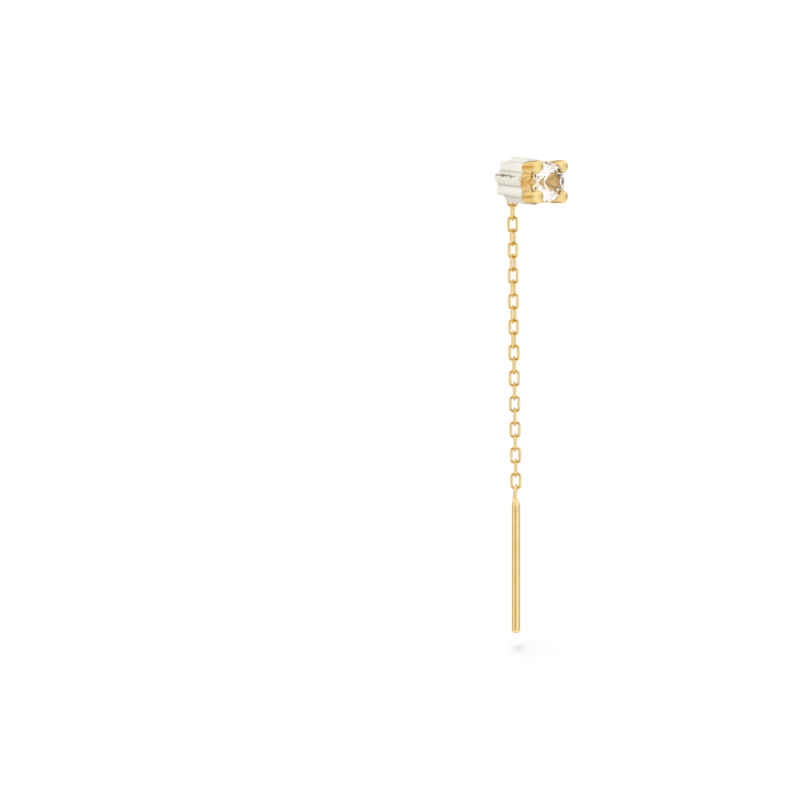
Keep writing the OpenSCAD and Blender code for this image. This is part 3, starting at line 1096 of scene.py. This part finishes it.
bands = [((degrees + 180) / 360, band_colour(level, warmth)) for degrees, level, warmth in BANDS]
overhead = [((degrees + 180) / 360, band_colour(level, warmth)) for degrees, level, warmth in OVERHEAD]
shares = [((z + 1) / 2, (share, share, share, 1)) for z, share in HEIGHTS]
colour = mix_colour(nodes, wires, ramp(nodes, wires, turn, bands), ramp(nodes, wires, turn, overhead),
                    ramp(nodes, wires, rise, shares))
room = background(nodes, ROOM_STRENGTH)
wires.new(colour, room.inputs["Color"])
seen = nodes.new("ShaderNodeLightPath")
blend = nodes.new("ShaderNodeMixShader")
wires.new(seen.outputs["Is Camera Ray"], blend.inputs["Fac"])
wires.new(room.outputs["Background"], blend.inputs[1])
wires.new(background(nodes, BACKDROP_STRENGTH).outputs["Background"], blend.inputs[2])
wires.new(blend.outputs["Shader"], nodes.new("ShaderNodeOutputWorld").inputs["Surface"])
bpy.context.scene.view_settings.view_transform = "Standard"
print("the room has", len(nodes), "nodes")

# %% [markdown]
# ## Lamps
#
# The real piece throws a small soft shadow on the card under the bar, and the room alone gives
# none. The camera looks almost along the floor, so a shadow has to be long from front to back
# before it shows as a spot, and under one lamp it would be a thin streak. So a row of broad lamps
# hangs over the floor, tilted away from the camera and towards it. The silicone has a lamp of its
# own, because it needs more light than the room has to look milky. Every lamp is linked to the one
# piece that it lights, so the gold and the stone see only the room.

# %% Lamps over the floor
STRIP_LEAN = math.radians(5)
STRIP_ENERGY = 1.19
# Columns: tilt to each side and width of the lamp, in degrees
STRIP = [(6, 24), (20, 18), (40, 14), (57, 14)]


def linked_lamp(name, energy, width, piece):
    """A distant lamp that lights one piece only and doesn't show in reflections."""
    lamp = bpy.data.objects.new(name, bpy.data.lights.new(name, "SUN"))
    lamp.data.energy = energy
    lamp.data.angle = math.radians(width)
    lamp.visible_glossy = False
    lit = bpy.data.collections.new(name + "_lights")
    lit.objects.link(piece)
    lamp.light_linking.receiver_collection = lit
    bpy.context.scene.collection.objects.link(lamp)
    return lamp


lean = Matrix.Rotation(STRIP_LEAN, 3, TOWARD)
for side in (-1, 1):
    for tilt, width in STRIP:
        lamp = linked_lamp(f"strip_{side * tilt}", STRIP_ENERGY, width, floor)
        lamp.visible_transmission = False
        lamp.visible_camera = False
        lamp.rotation_euler = (lean @ Matrix.Rotation(math.radians(side * tilt), 3, RIGHT)).to_euler()
print("lamps over the floor:", 2 * len(STRIP))

# %% A lamp for the ear nut
NUT_LAMP_ENERGY = 3.2
NUT_LAMP_WIDTH = 120
NUT_LAMP_LEFT, NUT_LAMP_LOW = 0.6, 0.3
nut_lamp = linked_lamp("nut_lamp", NUT_LAMP_ENERGY, NUT_LAMP_WIDTH, nut)
nut_lamp_from = TOWARD - RIGHT * NUT_LAMP_LEFT - Vector((0, 0, NUT_LAMP_LOW))
nut_lamp.rotation_euler = nut_lamp_from.to_track_quat("Z", "Y").to_euler()
print("the nut's lamp shines from", tuple(round(value, 2) for value in nut_lamp_from))

# %% [markdown]
# ## Camera
#
# The photograph looks at the stud from its left front, nearly level, through a long lens. A long
# lens keeps the thin bar and chain free of perspective stretch. It is placed by what it aims at,
# its direction and its distance, and the lens follows from the width that the picture shows there.

# %% Camera
SENSOR_W = 36
VIEW_W = 71.1
DISTANCE = 1400
ELEVATION = math.radians(2)
AIM = Vector((-7.82, 10.065, -19.43))
back = TOWARD * math.cos(ELEVATION) + Vector((0, 0, math.sin(ELEVATION)))
camera = bpy.data.objects.new("camera", bpy.data.cameras.new("camera"))
camera.data.lens = SENSOR_W * DISTANCE / VIEW_W
# The card reaches far beyond the earring, so the camera has to see up to 200 m
camera.data.clip_start = 0.01
camera.data.clip_end = 200
camera.location = (AIM + back * DISTANCE) * MM
camera.rotation_euler = back.to_track_quat("Z", "Y").to_euler()
bpy.context.scene.collection.objects.link(camera)
bpy.context.scene.camera = camera
print("camera at", [round(value, 4) for value in camera.location], "lens", round(camera.data.lens), "mm")
